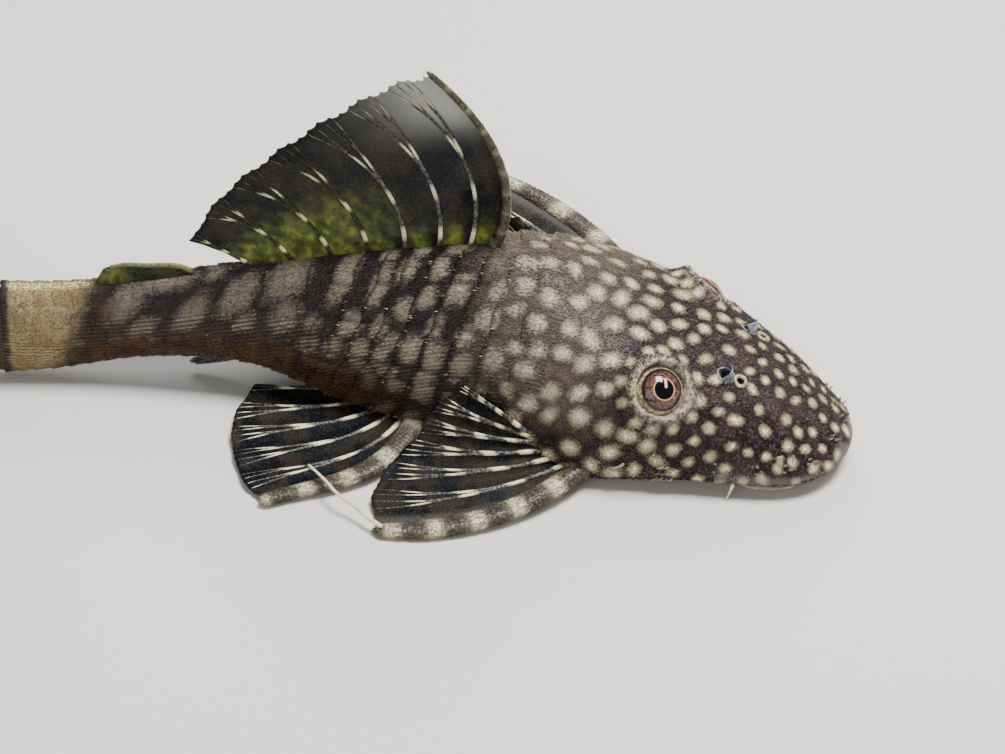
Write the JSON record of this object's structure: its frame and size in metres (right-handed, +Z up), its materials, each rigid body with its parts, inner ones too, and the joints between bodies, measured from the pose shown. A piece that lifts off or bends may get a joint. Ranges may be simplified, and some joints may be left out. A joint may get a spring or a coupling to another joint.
{
  "type": "bristlenose pleco",
  "caption": "Life-size still model of a bristlenose pleco, resting on its belly with its dorsal fin raised and its paired fins spread.",
  "frame": {"origin": "the resting flat under the belly, on the floor, 40 mm behind the snout tip along the body", "axes": "+X toward the head, +Y toward the fish's left side, +Z up"},
  "size_m": [0.1132, 0.055, 0.0371],
  "materials": {
    "plated_skin": "bony plates in damp dark skin with cream spots",
    "lip_skin": "soft, finely warted",
    "eye": "clear wet cornea over a coppery iris",
    "fin_membrane": "thin dark membrane between cream-flecked rays"
  },
  "bodies": {
    "root": {"head": "plated_skin", "trunk": "plated_skin", "tail": "plated_skin", "mouth_disc": "lip_skin", "eye_right": "eye", "eye_left": "eye", "pectoral_fin_right": "fin_membrane", "pectoral_fin_left": "fin_membrane", "pelvic_fin_right": "fin_membrane", "pelvic_fin_left": "fin_membrane", "dorsal_fin": "fin_membrane", "adipose_fin": "fin_membrane", "anal_fin": "fin_membrane", "caudal_fin": "fin_membrane"}
  },
  "joints": []
}
